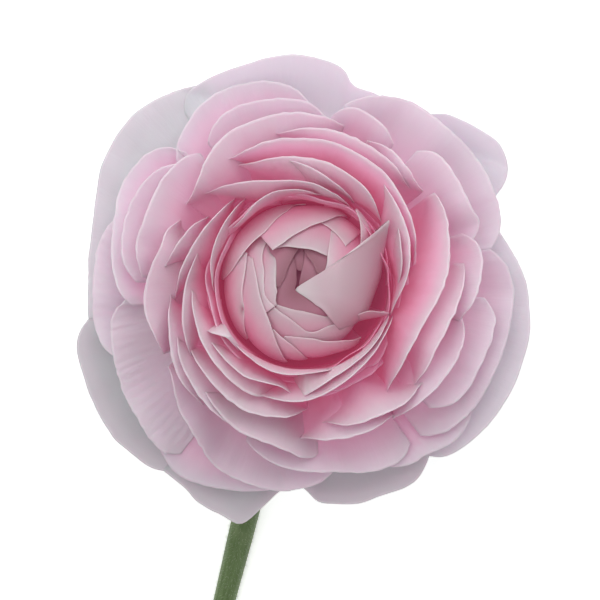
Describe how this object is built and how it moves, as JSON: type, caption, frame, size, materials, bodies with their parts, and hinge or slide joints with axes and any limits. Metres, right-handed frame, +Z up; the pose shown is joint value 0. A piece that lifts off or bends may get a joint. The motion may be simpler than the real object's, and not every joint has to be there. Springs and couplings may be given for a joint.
{
  "type": "ranunculus flower",
  "caption": "Cut ranunculus bloom with spiral layers of thin pink petals round a closed heart, pale guard petals and a lying green stem.",
  "frame": {"origin": "on the surface that the flower lies on, under the middle of its box", "axes": "+Z up from the surface, +Y along the flower from the stem's cut end to the bloom"},
  "size_m": [0.093, 0.2306, 0.0577],
  "materials": {
    "heart_petal": "matte",
    "pink_petal": "matte",
    "pale_petal": "matte",
    "sepal": "matte",
    "stem": "matte"
  },
  "bodies": {
    "root": {"heart_petals": "heart_petal", "petals": "pink_petal", "guard_petals": "pale_petal", "calyx": "sepal", "stem": "stem"}
  },
  "joints": []
}
